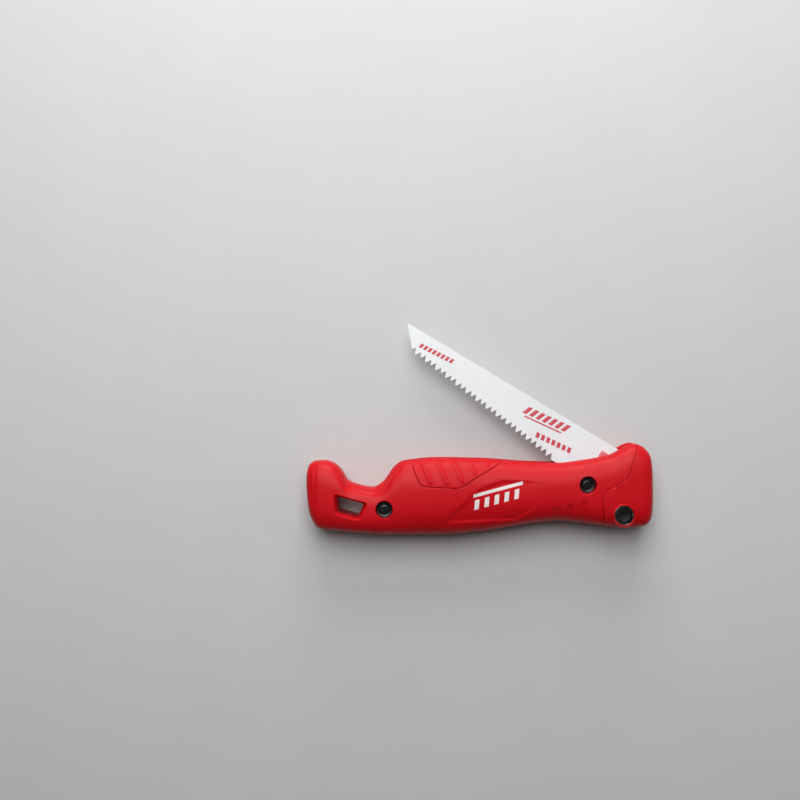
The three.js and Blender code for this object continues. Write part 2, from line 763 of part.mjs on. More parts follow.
add("front_liner", onFront(liner(true)), finishes.steel);
add("rear_liner", onRear(liner(false)), finishes.steel);
add("spine_spacer", onFront(spineSpacer()), finishes.black);
spacerPlaces.forEach((place, i) => {
  add(`spacer_rivet_${i + 1}`, onFront(linerRivet(place)), finishes.steel);
});
["closed", "open"].forEach((name, i) => {
  const pin = bar(stopPlaces[i], rivetRadius, -linerFace - 0.6, linerFace + 0.6, 24);
  add(`stop_pin_${name}`, onFront(pin), finishes.steel);
});

const shortScrewEnd = slotHalf;
const frontScrew = shellScrew(noseScrew, frontDepth, shortScrewEnd);
const rearScrew = shellScrew(noseScrew, rearDepth, shortScrewEnd);
add("front_shell_screw", onFront(frontScrew), finishes.black);
add("rear_shell_screw", onRear(rearScrew), finishes.black);
add("butt_screw", onFront(shellScrew(buttScrew, frontDepth, -insertDepth + 1)), finishes.black);
add("butt_insert", onRear(buttInsert()), finishes.brass);

add("pivot_pin", onFront(pivotPin()), finishes.steel);
const washer = ring(pinRadius + fit, washerRadius, clampFace, slotHalf);
add("front_pivot_washer", onFront(washer), finishes.brass);
add("rear_pivot_washer", onRear(washer), finishes.brass);
const bush = ring(pinRadius + fit, bushRadius, -clampFace, clampFace);
add("pivot_bush", onFront(bush), finishes.brass);

add("lock_leaf", onFront(lockLeaf()), finishes.spring);
add("detent_ball", onFront(detentBall()), finishes.steel);
leafRivetPlaces.forEach((place, i) => {
  add(`leaf_rivet_${i + 1}`, onFront(leafRivet(place)), finishes.steel);
});
add("lock_button", onFront(lockButton()), finishes.black);
add("button_bezel", onFront(buttonBezel()), finishes.steel);
add("button_spring", onFront(buttonSpring()), finishes.spring);

add("saw_blade", onBlade(sawBlade()), finishes.white);
add("front_clamp_plate", onBlade(frontClampPlate()), finishes.redMetal);
add("rear_clamp_plate", onBlade(rearClampPlate()), finishes.redMetal);
add("clamp_core", onBlade(clampCore()), finishes.steel);
clampRivetPlaces.forEach((place, i) => {
  add(`clamp_rivet_${i + 1}`, onBlade(clampRivet(place)), finishes.steel);
});
add("release_slider", onBlade(releaseSlider()), finishes.redMetal);
add("tang_pin", onBlade(tangPin()), finishes.steel);

export default group;
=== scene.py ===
"""Looks of the folding drywall saw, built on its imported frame.

The handle's two halves, its nose caps and grip pads, the toothed blade, the
lock button and the screws are modelled here at full detail. The steel inside
keeps its frame shape and gets eased edges and worked-metal finishes.
Sizes and places are millimetres unless said otherwise; meshes are metres.
"""

import json
import logging
import math
from contextlib import contextmanager
from dataclasses import dataclass, field
from enum import Enum
from typing import Callable, Iterator, Sequence

import bmesh
import bpy
from mathutils import Matrix, Vector

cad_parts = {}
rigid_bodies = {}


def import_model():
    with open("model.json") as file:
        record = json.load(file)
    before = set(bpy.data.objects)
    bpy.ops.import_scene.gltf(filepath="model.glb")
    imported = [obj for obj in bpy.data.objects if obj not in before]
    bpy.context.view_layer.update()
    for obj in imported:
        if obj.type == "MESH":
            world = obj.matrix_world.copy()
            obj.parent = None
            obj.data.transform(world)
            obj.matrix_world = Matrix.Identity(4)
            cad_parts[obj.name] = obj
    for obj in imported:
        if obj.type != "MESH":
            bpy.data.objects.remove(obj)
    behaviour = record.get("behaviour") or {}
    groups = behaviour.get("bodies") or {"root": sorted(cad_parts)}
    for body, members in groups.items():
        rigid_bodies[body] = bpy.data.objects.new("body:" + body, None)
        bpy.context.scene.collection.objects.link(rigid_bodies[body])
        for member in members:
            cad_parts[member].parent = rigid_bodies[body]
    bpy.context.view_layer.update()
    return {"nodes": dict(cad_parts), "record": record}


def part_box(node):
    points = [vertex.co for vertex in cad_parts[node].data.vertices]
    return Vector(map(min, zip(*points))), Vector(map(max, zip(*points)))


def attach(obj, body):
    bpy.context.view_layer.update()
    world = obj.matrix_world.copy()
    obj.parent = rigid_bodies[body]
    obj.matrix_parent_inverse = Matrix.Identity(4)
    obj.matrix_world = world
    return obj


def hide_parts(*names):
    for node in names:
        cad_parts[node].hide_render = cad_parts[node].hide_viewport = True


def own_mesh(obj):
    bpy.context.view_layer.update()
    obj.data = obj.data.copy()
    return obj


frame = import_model()

LOG = logging.getLogger("drywall_saw")
MM = 0.001
Point = tuple[float, float]
Colour = tuple[float, float, float]
Place = tuple[float, float, float]
Piece = bpy.types.Object
Socket = bpy.types.NodeSocket


# ------------------------------------------------------------------ workbench


class Cut(Enum):
    """How one solid works on another."""

    REMOVE = "DIFFERENCE"
    KEEP = "INTERSECT"
    JOIN = "UNION"


class Bench:
    """The modelling moves that every piece is made with."""

    @staticmethod
    def clear() -> None:
        """Deselect everything."""
        for item in bpy.context.view_layer.objects:
            item.select_set(False)

    @staticmethod
    def only(piece: Piece) -> Piece:
        """Select one piece alone and make it active.

        Args:
            piece: The piece to work on.

        Returns:
            The same piece.
        """
        Bench.clear()
        piece.select_set(True)
        bpy.context.view_layer.objects.active = piece
        return piece

    @staticmethod
    @contextmanager
    def editing() -> Iterator[None]:
        """Edit the active piece's mesh, with all of it selected at first."""
        bpy.ops.object.mode_set(mode="EDIT")
        bpy.ops.mesh.select_all(action="SELECT")
        yield
        bpy.ops.object.mode_set(mode="OBJECT")

    @staticmethod
    def faces_out() -> None:
        """Turn all faces of the mesh being edited outwards."""
        bpy.ops.mesh.select_all(action="SELECT")
        bpy.ops.mesh.normals_make_consistent(inside=False)

    @staticmethod
    def added(name: str) -> Piece:
        """Name the primitive that was just added and return it."""
        piece = bpy.context.active_object
        piece.name = name
        piece.data.name = name
        return piece

    @staticmethod
    def settle(piece: Piece) -> Piece:
        """Move a piece's place, turn and size into its mesh."""
        Bench.only(piece)
        bpy.ops.object.transform_apply(location=True, rotation=True, scale=True)
        return piece

    @staticmethod
    def modify(piece: Piece, kind: str, **settings: object) -> Piece:
        """Add one modifier and apply it.

        Args:
            piece: The piece to change.
            kind: Blender's name of the modifier.
            settings: Values set on the modifier.

        Returns:
            The same piece.
        """
        Bench.only(piece)
        modifier = piece.modifiers.new(kind.lower(), kind)
        for key, value in settings.items():
            setattr(modifier, key, value)
        bpy.ops.object.modifier_apply(modifier=modifier.name)
        return piece

    @staticmethod
    def work(piece: Piece, other: Piece, how: Cut) -> Piece:
        """Cut, trim or join a piece with another solid.

        Args:
            piece: The piece that changes.
            other: The solid it is worked with.
            how: What is done. The other solid is used up.

        Returns:
            The changed piece.
        """
        Bench.modify(
            piece,
            "BOOLEAN",
            operation=how.value,
            object=other,
            solver="EXACT",
            material_mode="TRANSFER",
        )
        bpy.data.objects.remove(other)
        return piece

    @staticmethod
    def prism(name: str, outline: Sequence[Point], low: float, high: float) -> Piece:
        """Make a straight-walled solid over an outline.

        Args:
            name: The new piece's name.
            outline: Corners, in order.
            low: Lower height.
            high: Upper height.

        Returns:
            The new piece, in metres.
        """
        Bench.clear()
        bpy.ops.mesh.primitive_circle_add(vertices=len(outline), fill_type="NGON", radius=MM)
        piece = Bench.added(name)
        for vertex, (x, y) in zip(piece.data.vertices, outline):
            vertex.co = (x * MM, y * MM, low * MM)
        with Bench.editing():
            bpy.ops.mesh.extrude_region_move(
                TRANSFORM_OT_translate={"value": (0, 0, (high - low) * MM)}
            )
            Bench.faces_out()
        return piece

    @staticmethod
    def bar(
        name: str, place: Point, radius: float, low: float, high: float, sides: int = 64
    ) -> Piece:
        """Make a round bar along Z.

        Args:
            name: The new piece's name.
            place: Axis.
            radius: Radius.
            low: Lower height.
            high: Upper height.
            sides: Number of flats round it.

        Returns:
            The new piece, in metres.
        """
        Bench.clear()
        bpy.ops.mesh.primitive_cylinder_add(
            vertices=sides,
            radius=radius * MM,
            depth=(high - low) * MM,
            location=(place[0] * MM, place[1] * MM, (low + high) / 2 * MM),
        )
        return Bench.settle(Bench.added(name))

    @staticmethod
    def turned(name: str, place: Point, profile: Sequence[Point], steps: int) -> Piece:
        """Spin a profile of (radius, height) about a Z axis.

        Args:
            name: The new piece's name.
            place: Axis.
            profile: Points (radius, height), in order.
            steps: Steps of the full turn.

        Returns:
            The new piece, closed, with its faces out.
        """
        Bench.clear()
        bpy.ops.mesh.primitive_plane_add(size=MM)
        piece = Bench.added(name)
        shape = bmesh.new()
        rail = [shape.verts.new((r * MM, 0, z * MM)) for r, z in profile]
        for first, second in zip(rail, rail[1:]):
            shape.edges.new((first, second))
        shape.to_mesh(piece.data)
        shape.free()
        with Bench.editing():
            bpy.ops.mesh.spin(
                steps=steps, angle=math.tau, center=(0, 0, 0), axis=(0, 0, 1), use_auto_merge=True
            )
            bpy.ops.mesh.select_all(action="SELECT")
            bpy.ops.mesh.remove_doubles(threshold=1e-6)
            Bench.faces_out()
        piece.location = (place[0] * MM, place[1] * MM, 0)
        return Bench.settle(piece)

    @staticmethod
    def ease(piece: Piece, width: float, steps: int, angle: float) -> Piece:
        """Round the sharp edges of a piece.

        Args:
            piece: The piece.
            width: Rounding.
            steps: Segments of each rounding.
            angle: Edges sharper than this many degrees are rounded.

        Returns:
            The same piece.
        """
        return Bench.modify(
            piece,
            "BEVEL",
            width=width * MM,
            segments=steps,
            limit_method="ANGLE",
            angle_limit=math.radians(angle),
            use_clamp_overlap=True,
            harden_normals=False,
            miter_outer="MITER_ARC",
        )

    @staticmethod
    def smooth(piece: Piece, angle: float) -> Piece:
        """Shade a piece smooth across edges flatter than an angle in degrees."""
        Bench.only(piece)
        bpy.ops.object.shade_smooth_by_angle(angle=math.radians(angle))
        return piece

    @staticmethod
    def copy_of_frame(node: str, name: str) -> Piece:
        """Copy a frame node's mesh as a new piece, with its loose triangles merged.

        Args:
            node: The frame node.
            name: The new piece's name.

        Returns:
            The new piece.
        """
        source = frame["nodes"][node]
        piece = bpy.data.objects.new(name, source.data.copy())
        piece.data.materials.clear()
        bpy.context.scene.collection.objects.link(piece)
        Bench.only(piece)
        with Bench.editing():
            bpy.ops.mesh.remove_doubles(threshold=1e-6)
            bpy.ops.mesh.dissolve_limited(angle_limit=math.radians(1))
        return piece

    @staticmethod
    def dress(piece: Piece, material: bpy.types.Material) -> Piece:
        """Give a piece one material all over."""
        piece.data.materials.clear()
        piece.data.materials.append(material)
        return piece

    @staticmethod
    def fit(piece: Piece, body: str, slot: str, *nodes: str) -> Piece:
        """Let a finished piece ride on a body and stand for frame nodes.

        Args:
            piece: The finished piece.
            body: The body it moves with.
            slot: The record's material slot; not used.
            nodes: Frame nodes that it stands for.

        Returns:
            The same piece.
        """
        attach(piece, body)
        if nodes:
            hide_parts(*nodes)
        LOG.info("%s: %d faces, on %s", piece.name, len(piece.data.polygons), body)
        return piece


# ------------------------------------------------------------------ finishes


class Grain(Enum):
    """What the surface of a finish feels like."""

    MOULDED = "moulded"
    SOFT_TOUCH = "soft touch"
    COATED = "coated"
    BRUSHED = "brushed"
    TURNED = "turned"


class NodeDesk:
    """Adds and links shader nodes in one material."""

    def __init__(self, name: str) -> None:
        """Start an empty node material with one Principled shader."""
        self.material = bpy.data.materials.new(name)
        self.material.use_nodes = True
        self.tree = self.material.node_tree
        self.tree.nodes.clear()
        self.shader = self.add("ShaderNodeBsdfPrincipled")
        output = self.add("ShaderNodeOutputMaterial")
        self.link(self.shader.outputs["BSDF"], output.inputs["Surface"])
        self.place = self.add("ShaderNodeTexCoord").outputs["Object"]

    def add(self, kind: str, **settings: object) -> bpy.types.ShaderNode:
        """Add a node with some of its settings."""
        node = self.tree.nodes.new(kind)
        for key, value in settings.items():
            setattr(node, key, value)
        return node

    def link(self, source: Socket, target: Socket) -> None:
        """Join two sockets."""
        self.tree.links.new(source, target)

    def feed(self, socket: Socket, value: object) -> None:
        """Set a socket to a number, or link it to another socket."""
        if isinstance(value, Socket):
            self.link(value, socket)
        else:
            socket.default_value = value

    def maths(self, operation: str, *values: object, clamp: bool = False) -> Socket:
        """One Math node over numbers or sockets.

        Args:
            operation: Blender's name of the operation.
            values: Its inputs.
            clamp: Whether the result stays from 0 to 1.

        Returns:
            The result's socket.
        """
        node = self.add("ShaderNodeMath", operation=operation, use_clamp=clamp)
        for socket, value in zip(node.inputs, values):
            self.feed(socket, value)
        return node.outputs[0]

    def times(self, *values: object) -> Socket:
        """The product of two numbers or sockets."""
        return self.maths("MULTIPLY", *values)

    def most(self, first: Socket, *others: Socket) -> Socket:
        """The largest of some sockets' values."""
        for other in others:
            first = self.maths("MAXIMUM", first, other)
        return first

    def noise(
        self, scale: float, detail: float = 3, stretch: Sequence[float] = (1, 1, 1), turn: float = 0
    ) -> Socket:
        """Noise in object space.

        Args:
            scale: Features per metre.
            detail: Octaves.
            stretch: Scale along each axis.
            turn: Degrees that the pattern is turned about Z.

        Returns:
            The noise factor's socket.
        """
        mapping = self.add("ShaderNodeMapping")
        mapping.inputs["Rotation"].default_value = (0, 0, math.radians(turn))
        mapping.inputs["Scale"].default_value = stretch
        self.link(self.place, mapping.inputs["Vector"])
        texture = self.add("ShaderNodeTexNoise")
        texture.inputs["Scale"].default_value = scale
        texture.inputs["Detail"].default_value = detail
        self.link(mapping.outputs["Vector"], texture.inputs["Vector"])
        return texture.outputs["Fac"]

    def span(self, value: Socket, low: float, high: float) -> Socket:
        """Map a noise factor's middle stretch to a range."""
        node = self.add("ShaderNodeMapRange")
        self.link(value, node.inputs["Value"])
        node.inputs["From Min"].default_value = 0.3
        node.inputs["From Max"].default_value = 0.7
        node.inputs["To Min"].default_value = low
        node.inputs["To Max"].default_value = high
        return node.outputs["Result"]

    def blend(self, share: object, first: object, second: object) -> Socket:
        """Mix two colours by a share."""
        node = self.add("ShaderNodeMix", data_type="RGBA")
        self.feed(node.inputs[0], share)
        for socket, value in ((node.inputs[6], first), (node.inputs[7], second)):
            self.feed(socket, (*value, 1) if isinstance(value, tuple) else value)
        return node.outputs[2]

    def along(self, direction: Sequence[float]) -> Socket:
        """The distance along a direction in object space, in millimetres."""
        node = self.add("ShaderNodeVectorMath", operation="DOT_PRODUCT")
        self.link(self.place, node.inputs[0])
        node.inputs[1].default_value = direction
        return self.times(node.outputs["Value"], 1 / MM)

    def window(self, value: object, centre: float, half: float, soft: float) -> Socket:
        """1 within half of a centre, 0 outside, over a soft edge.

        Args:
            value: The distance's socket.
            centre: Middle of the window.
            half: Half its width.
            soft: Width of the edge.

        Returns:
            The window's socket.
        """
        off = self.maths("ABSOLUTE", self.maths("SUBTRACT", value, centre))
        edge = self.maths("DIVIDE", self.maths("SUBTRACT", half, off), soft)
        return self.maths("ADD", edge, 0.5, clamp=True)


@dataclass(frozen=True)
class Finish:
    """A procedural finish: colour variation, gloss variation and surface grain."""

    name: str
    colour: Colour
    dark: Colour
    grain: Grain
    roughness: tuple[float, float] = (0.35, 0.5)
    metallic: float = 0.0
    bump: float = 0.1
    grain_scale: float = 1800.0
    patch_scale: float = 45.0
    coat: float = 0.0
    specular: float = 0.5
    ink: Colour = (1.0, 1.0, 1.0)  # colour of a printed mark

    def pattern(self, desk: NodeDesk) -> Socket:
        """The height pattern of the grain."""
        if self.grain is Grain.BRUSHED:
            return desk.noise(self.grain_scale, 2, (0.04, 1, 1))
        if self.grain is Grain.SOFT_TOUCH:
            texture = desk.add("ShaderNodeTexVoronoi", feature="SMOOTH_F1")
            texture.inputs["Scale"].default_value = self.grain_scale
            desk.link(desk.place, texture.inputs["Vector"])
            return texture.outputs["Distance"]
        if self.grain is Grain.TURNED:
            return desk.noise(self.grain_scale, 2, (1, 1, 0.05))
        return desk.noise(self.grain_scale, 4)

    def marks(self, desk: NodeDesk) -> Socket | None:
        """A printed mark's mask, where the finish has one."""
        return None

    def build(self) -> bpy.types.Material:
        """Make the Blender material.

        Returns:
            The material, reading object coordinates only.
        """
        desk = NodeDesk(self.name)
        patch = desk.noise(self.patch_scale, 4)
        fine = desk.noise(self.patch_scale * 9, 3)
        patch, fine = desk.times(patch, 0.6), desk.times(fine, 0.4)
        share = desk.span(desk.maths("ADD", patch, fine), 0.0, 1.0)
        colour = desk.blend(share, self.dark, self.colour)
        roughness = desk.span(desk.noise(self.patch_scale * 3, 5), *self.roughness)
        mask = self.marks(desk)
        if mask is not None:
            worn = desk.times(mask, desk.span(desk.noise(900, 3), 0.86, 1.0))
            colour = desk.blend(worn, colour, self.ink)
            roughness = desk.maths("ADD", roughness, desk.times(mask, 0.08))
        desk.link(colour, desk.shader.inputs["Base Color"])
        desk.link(roughness, desk.shader.inputs["Roughness"])
        desk.shader.inputs["Metallic"].default_value = self.metallic
        desk.shader.inputs["Coat Weight"].default_value = self.coat
        desk.shader.inputs["Coat Roughness"].default_value = 0.25
        desk.shader.inputs["Specular IOR Level"].default_value = self.specular
        bump = desk.add("ShaderNodeBump")
        bump.inputs["Strength"].default_value = self.bump
        bump.inputs["Distance"].default_value = 0.0002
        desk.link(self.pattern(desk), bump.inputs["Height"])
        desk.link(bump.outputs["Normal"], desk.shader.inputs["Normal"])
        return desk.material


@dataclass(frozen=True)
class MarkedPlastic(Finish):
    """The front shell's plastic with a plain mark of slanted bars printed on its panel."""

    ink: Colour = (0.86, 0.82, 0.80)
    centre: Point = (-74.6, -4.2)
    lean: float = 15.0
    slant: float = -0.35
    bars: int = 5
    first_bar: float = -11.5
    bar_pitch: float = 5.8
    bar_width: float = 2.6
    soft: float = 0.18
    front_from: float = 22.0  # the mark is printed above this height only

    def marks(self, desk: NodeDesk) -> Socket:
        """Five slanted bars over one long bar, on the front face only."""
        turn = math.radians(self.lean)
        across = desk.along((math.cos(turn), math.sin(turn), 0))
        up = desk.along((-math.sin(turn), math.cos(turn), 0))
        x0 = self.centre[0] * math.cos(turn) + self.centre[1] * math.sin(turn)
        y0 = -self.centre[0] * math.sin(turn) + self.centre[1] * math.cos(turn)
        across = desk.maths("SUBTRACT", across, x0)
        up = desk.maths("SUBTRACT", up, y0)
        slant = desk.maths("ADD", across, desk.times(up, self.slant))
        places = [self.first_bar + self.bar_pitch * index for index in range(self.bars)]
        half, soft = self.bar_width / 2, self.soft
        bars = desk.most(*(desk.window(slant, place, half, soft) for place in places))
        bars = desk.times(bars, desk.window(up, -2.0, 2.6, soft))
        line = desk.times(desk.window(slant, 0.4, 14.4, soft), desk.window(up, 3.2, 0.9, soft))
        front = desk.maths("GREATER_THAN", desk.along((0, 0, 1)), self.front_from)
        return desk.times(desk.most(bars, line), front)


@dataclass(frozen=True)
class PrintedBlade(Finish):
    """The blade's white coating with plain red print on both faces."""

    ink: Colour = (0.60, 0.006, 0.03)
    angle: float = 31.0

    def marks(self, desk: NodeDesk) -> Socket:
        """A small row near the tip, then a bold row over a bar and a row near the handle."""
        turn = math.radians(self.angle)
        reach = desk.along((-math.cos(turn), math.sin(turn), 0))
        back = desk.along((math.sin(turn), math.cos(turn), 0))

        def line(
            start: Point, end: Point, height: float, lean: float, pitch: float = 0, fill: float = 1
        ) -> Socket:
            """A leaning line from start to end, cut into bars if it has a pitch."""
            slope = (end[1] - start[1]) / (end[0] - start[0])
            rise = desk.maths("MULTIPLY_ADD", reach, slope, start[1] - slope * start[0])
            up = desk.maths("SUBTRACT", back, rise)
            slanted = desk.maths("MULTIPLY_ADD", up, lean, reach)
            length = desk.window(slanted, (start[0] + end[0]) / 2, (end[0] - start[0]) / 2, 0.2)
            mask = desk.times(length, desk.window(up, 0.0, height / 2, 0.18))
            if not pitch:
                return mask
            step = desk.maths("FRACT", desk.maths("DIVIDE", slanted, pitch))
            return desk.times(desk.window(step, 0.5, fill / 2, 0.12), mask)

        tip = line((121, 10.6), (143, 9.0), 2.8, 0.2, 2.75, 0.66)
        bold = line((44, 11.5), (72, 8.5), 4.6, 0.4, 4.0, 0.62)
        thin = line((47, 7.5), (70, 5.0), 0.9, 0.4)
        near = line((36.3, 1.5), (59.4, -0.7), 3.2, -0.2, 3.3, 0.66)
        return desk.most(tip, bold, thin, near)


RED = {"colour": (0.58, 0.005, 0.011), "dark": (0.53, 0.004, 0.008), "specular": 0.16}
MOULDED_RED = {**RED, "grain": Grain.MOULDED, "roughness": (0.36, 0.46), "bump": 0.09}
RED_SHELL = Finish("red_shell", **MOULDED_RED)
RED_PANEL = MarkedPlastic("red_panel", **MOULDED_RED)
RED_GRIP = Finish(
    "red_grip", **RED, grain=Grain.SOFT_TOUCH, roughness=(0.42, 0.52), bump=0.10, grain_scale=1500
)
RED_METAL = Finish(
    "red_metal", (0.55, 0.012, 0.03), (0.46, 0.008, 0.022), Grain.COATED, (0.3, 0.42),
    bump=0.06, grain_scale=900, coat=0.2,
)
WHITE_BLADE = PrintedBlade(
    "white_blade", (0.84, 0.86, 0.87), (0.78, 0.80, 0.815), Grain.COATED, (0.36, 0.5),
    bump=0.05, grain_scale=1200,
)
GROUND_TEETH = Finish(
    "ground_teeth", (0.66, 0.67, 0.69), (0.52, 0.53, 0.55), Grain.BRUSHED, (0.3, 0.42),
    metallic=0.55, bump=0.08, grain_scale=2600,
)
BLACK_BUTTON = Finish(
    "black_button", (0.012, 0.012, 0.013), (0.007, 0.007, 0.008), Grain.MOULDED, (0.4, 0.5),
    bump=0.08, specular=0.2,
)
BLACK_SCREW = Finish(
    "black_screw", (0.030, 0.029, 0.031), (0.012, 0.012, 0.013), Grain.TURNED, (0.2, 0.34),
    metallic=0.6, bump=0.06,
)
BRIGHT_RING = Finish(
    "bright_ring", (0.72, 0.72, 0.74), (0.58, 0.58, 0.6), Grain.TURNED, (0.14, 0.26),
    metallic=1.0, bump=0.04, grain_scale=2400,
)
SHEET_STEEL = Finish(
    "sheet_steel", (0.50, 0.51, 0.53), (0.36, 0.37, 0.385), Grain.BRUSHED, (0.28, 0.44),
    metallic=1.0, bump=0.08, grain_scale=1500,
)
SPRING_STEEL = Finish(
    "spring_steel", (0.36, 0.36, 0.37), (0.24, 0.24, 0.25), Grain.BRUSHED, (0.3, 0.46),
    metallic=1.0, bump=0.06, grain_scale=1900,
)
TURNED_BRASS = Finish(
    "turned_brass", (0.62, 0.44, 0.17), (0.45, 0.30, 0.10), Grain.TURNED, (0.24, 0.38),
    metallic=1.0, bump=0.06,
)
BLACK_SPACER = Finish(
    "black_spacer", (0.022, 0.022, 0.023), (0.012, 0.012, 0.012), Grain.MOULDED, (0.45, 0.6), bump=0.1
)


# ------------------------------------------------------------------ the handle's form


def smooth_at(points: Sequence[Point], x: float) -> float:
    """The value at x of a smooth line through points that never overshoots them.

    Args:
        points: Points (x, value), rising in x.
        x: Where to read the line.

    Returns:
        The line's value.
    """
    if x <= points[0][0]:
        return points[0][1]
    if x >= points[-1][0]:
        return points[-1][1]
    i = next(k for k, p in enumerate(points) if p[0] > x) - 1

    def rise(k: int) -> float:
        """Slope of one stretch."""
        return (points[k + 1][1] - points[k][1]) / (points[k + 1][0] - points[k][0])

    def tangent(k: int) -> float:
        """Slope at one point."""
        if k == 0:
            return rise(0)
        if k == len(points) - 1:
            return rise(k - 1)
        before, after = rise(k - 1), rise(k)
        return 0.0 if before * after <= 0 else 2 * before * after / (before + after)

    span = points[i + 1][0] - points[i][0]
    t = (x - points[i][0]) / span
    t2, t3 = t * t, t * t * t
    return (
        (2 * t3 - 3 * t2 + 1) * points[i][1]
        + (t3 - 2 * t2 + t) * span * tangent(i)
        + (3 * t2 - 2 * t3) * points[i + 1][1]
        + (t3 - t2) * span * tangent(i + 1)
    )


def rise_over(value: float, low: float, high: float) -> float:
    """A smooth step from 0 at low to 1 at high."""
    t = min(1.0, max(0.0, (value - low) / (high - low)))
    return t * t * (3 - 2 * t)


def distance_to(outline: Sequence[Point], x: float, y: float) -> float:
    """Signed distance to a closed outline, negative inside.

    Args:
        outline: The outline's corners.
        x: Place along the handle.
        y: Place across it.

    Returns:
        The distance in millimetres.
    """
    best, inside = 1e9, False
    for (x1, y1), (x2, y2) in zip(outline, list(outline[1:]) + [outline[0]]):
        dx, dy = x2 - x1, y2 - y1
        t = min(1.0, max(0.0, ((x - x1) * dx + (y - y1) * dy) / (dx * dx + dy * dy)))
        best = min(best, math.hypot(x - x1 - t * dx, y - y1 - t * dy))
        if (y1 > y) != (y2 > y) and x < (x2 - x1) * (y - y1) / (y2 - y1) + x1:
            inside = not inside
    return -best if inside else best


@dataclass(frozen=True)
class HandleForm:
    """The handle's outer form, from the fold axis: where its skin lies."""

    top: tuple[Point, ...] = (
        (-182.4, 8.5), (-181.2, 12.6), (-177.5, 14.7), (-172.1, 15), (-168, 13.9), (-164, 11),
        (-161.7, 7.9), (-159.5, 4), (-154.8, 1.6), (-144.8, -0.4), (-139.3, 2.4), (-132, 12.1),
        (-126.9, 15.2), (-106.6, 17.1), (-83, 16.7), (-57.3, 14.9), (-39.3, 14.3), (-23.1, 16.1),
        (-10.1, 18.7), (4.3, 25), (8.7, 23.6), (11.1, 21.6), (13.4, 18.5), (14.2, 12.1), (14.6, 6),
    )
    bottom: tuple[Point, ...] = (
        (-182.4, -3), (-181.6, -11.6), (-180.2, -17.6), (-175.7, -23.9), (-166.9, -25.2),
        (-129, -27.4), (-106, -27.4), (-83, -25.6), (-50.1, -20.5), (-39.2, -19.6), (-19, -21.5),
        (0, -23.6), (10.1, -22.3), (13.4, -19.9), (14.2, -17.6), (14.6, -12.7),
    )
    share: tuple[Point, ...] = (
        (-182.4, 0.5), (-181.2, 0.68), (-178, 0.82), (-168, 0.87), (-132, 0.91), (-112, 1),
        (8, 1), (11.1, 0.94), (13.4, 0.78), (14.6, 0.56),
    )
    fullness: tuple[Point, ...] = (
        (-182.4, 3.0), (-150, 2.9), (-115, 2.55), (-60, 2.5), (-20, 2.9), (10, 3.6),
    )
    middle: float = 15.0
    step: float = 0.75
    around: int = 66

    def stations(self) -> list[float]:
        """Places along the handle, closer together at both rounded ends."""
        low, high = self.top[0][0], self.top[-1][0]
        places = [low, low + 0.12, low + 0.3, low + 0.6, low + 1.0, low + 1.5]
        x = low + 2.1
        while x < high - 1.9:
            places.append(x)
            x += self.step
        return places + [high - d for d in (1.7, 1.2, 0.8, 0.5, 0.25, 0.1, 0)]

    def reach(self, x: float, depth: float, grow: float) -> float:
        """Half thickness at a place along the handle."""
        return depth * smooth_at(self.share, x) + grow

    def half(
        self,
        name: str,
        depth: float,
        front: bool,
        grow: float = 0.0,
        relief: Callable[[float, float], float] | None = None,
    ) -> Piece:
        """Make one half of the handle as a closed solid.

        Args:
            name: The new piece's name.
            depth: Full half thickness.
            front: Whether it is the front half.
            grow: How far the skin stands out all over.
            relief: Extra height of the side's skin at (x, y).

        Returns:
            The half, with its flat closed at the middle plane.
        """
        places = self.stations()
        rows = len(places) + 2
        columns = self.around + 1
        Bench.clear()
        bpy.ops.mesh.primitive_grid_add(
            x_subdivisions=columns - 1, y_subdivisions=rows - 1, size=MM
        )
        piece = Bench.added(name)
        points: list[float] = []
        side = 1.0 if front else -1.0
        for row in range(rows):
            x = places[min(max(row - 1, 0), len(places) - 1)]
            closed = row in (0, rows - 1)
            top = smooth_at(self.top, x) + grow
            bottom = smooth_at(self.bottom, x) - grow
            centre, span = (top + bottom) / 2, (top - bottom) / 2
            reach = self.reach(x, depth, grow)
            power = smooth_at(self.fullness, x)
            for column in range(columns):
                turn = math.pi * (column / (columns - 1) - 0.5)
                across, out = math.sin(turn), math.cos(turn)
                y = centre + span * math.copysign(abs(across) ** (2 / power), across)
                rise = abs(out) ** (2 / power) if out > 1e-9 else 0.0
                height = reach * rise
                if relief is not None:
                    height += relief(x, y) * rise_over(rise, 0.12, 0.7)
                z = self.middle + side * (0.0 if closed else height)
                points.extend((x * MM, y * MM, z * MM))
        piece.data.vertices.foreach_set("co", points)
        piece.data.update()
        with Bench.editing():
            bpy.ops.mesh.remove_doubles(threshold=2e-6)
            bpy.ops.mesh.select_all(action="DESELECT")
            bpy.ops.mesh.select_mode(type="EDGE")
            bpy.ops.mesh.select_non_manifold(extend=False)
            bpy.ops.mesh.edge_face_add()
            Bench.faces_out()
            bpy.ops.mesh.select_mode(type="VERT")
        return piece

    def inset(self, gap: float, start: float, end: float, steps: int = 40) -> list[Point]:
        """The outline set inwards between two places along the handle."""
        places = [start + (end - start) * i / steps for i in range(steps + 1)]
        lower = [(x, smooth_at(self.bottom, x) + gap) for x in places]
        upper = [(x, smooth_at(self.top, x) - gap) for x in reversed(places)]
        return lower + upper


FORM = HandleForm()
FRONT_DEPTH = 14.4  # middle plane to the front's face
REAR_DEPTH = 15.0
BELOW, ABOVE = -5.0, 40.0  # heights that clear every piece
BEYOND = 20.0  # from the middle plane, past either face


def layer(front: bool, near: float, far: float) -> list[float]:
    """The lower and upper height of a layer, from its distances to the middle plane."""
    side = 1 if front else -1
    return sorted((FORM.middle + side * near, FORM.middle + side * far))


def side_name(front: bool) -> str:
    """What the names of a side's frame nodes begin with."""
    return "front" if front else "rear"


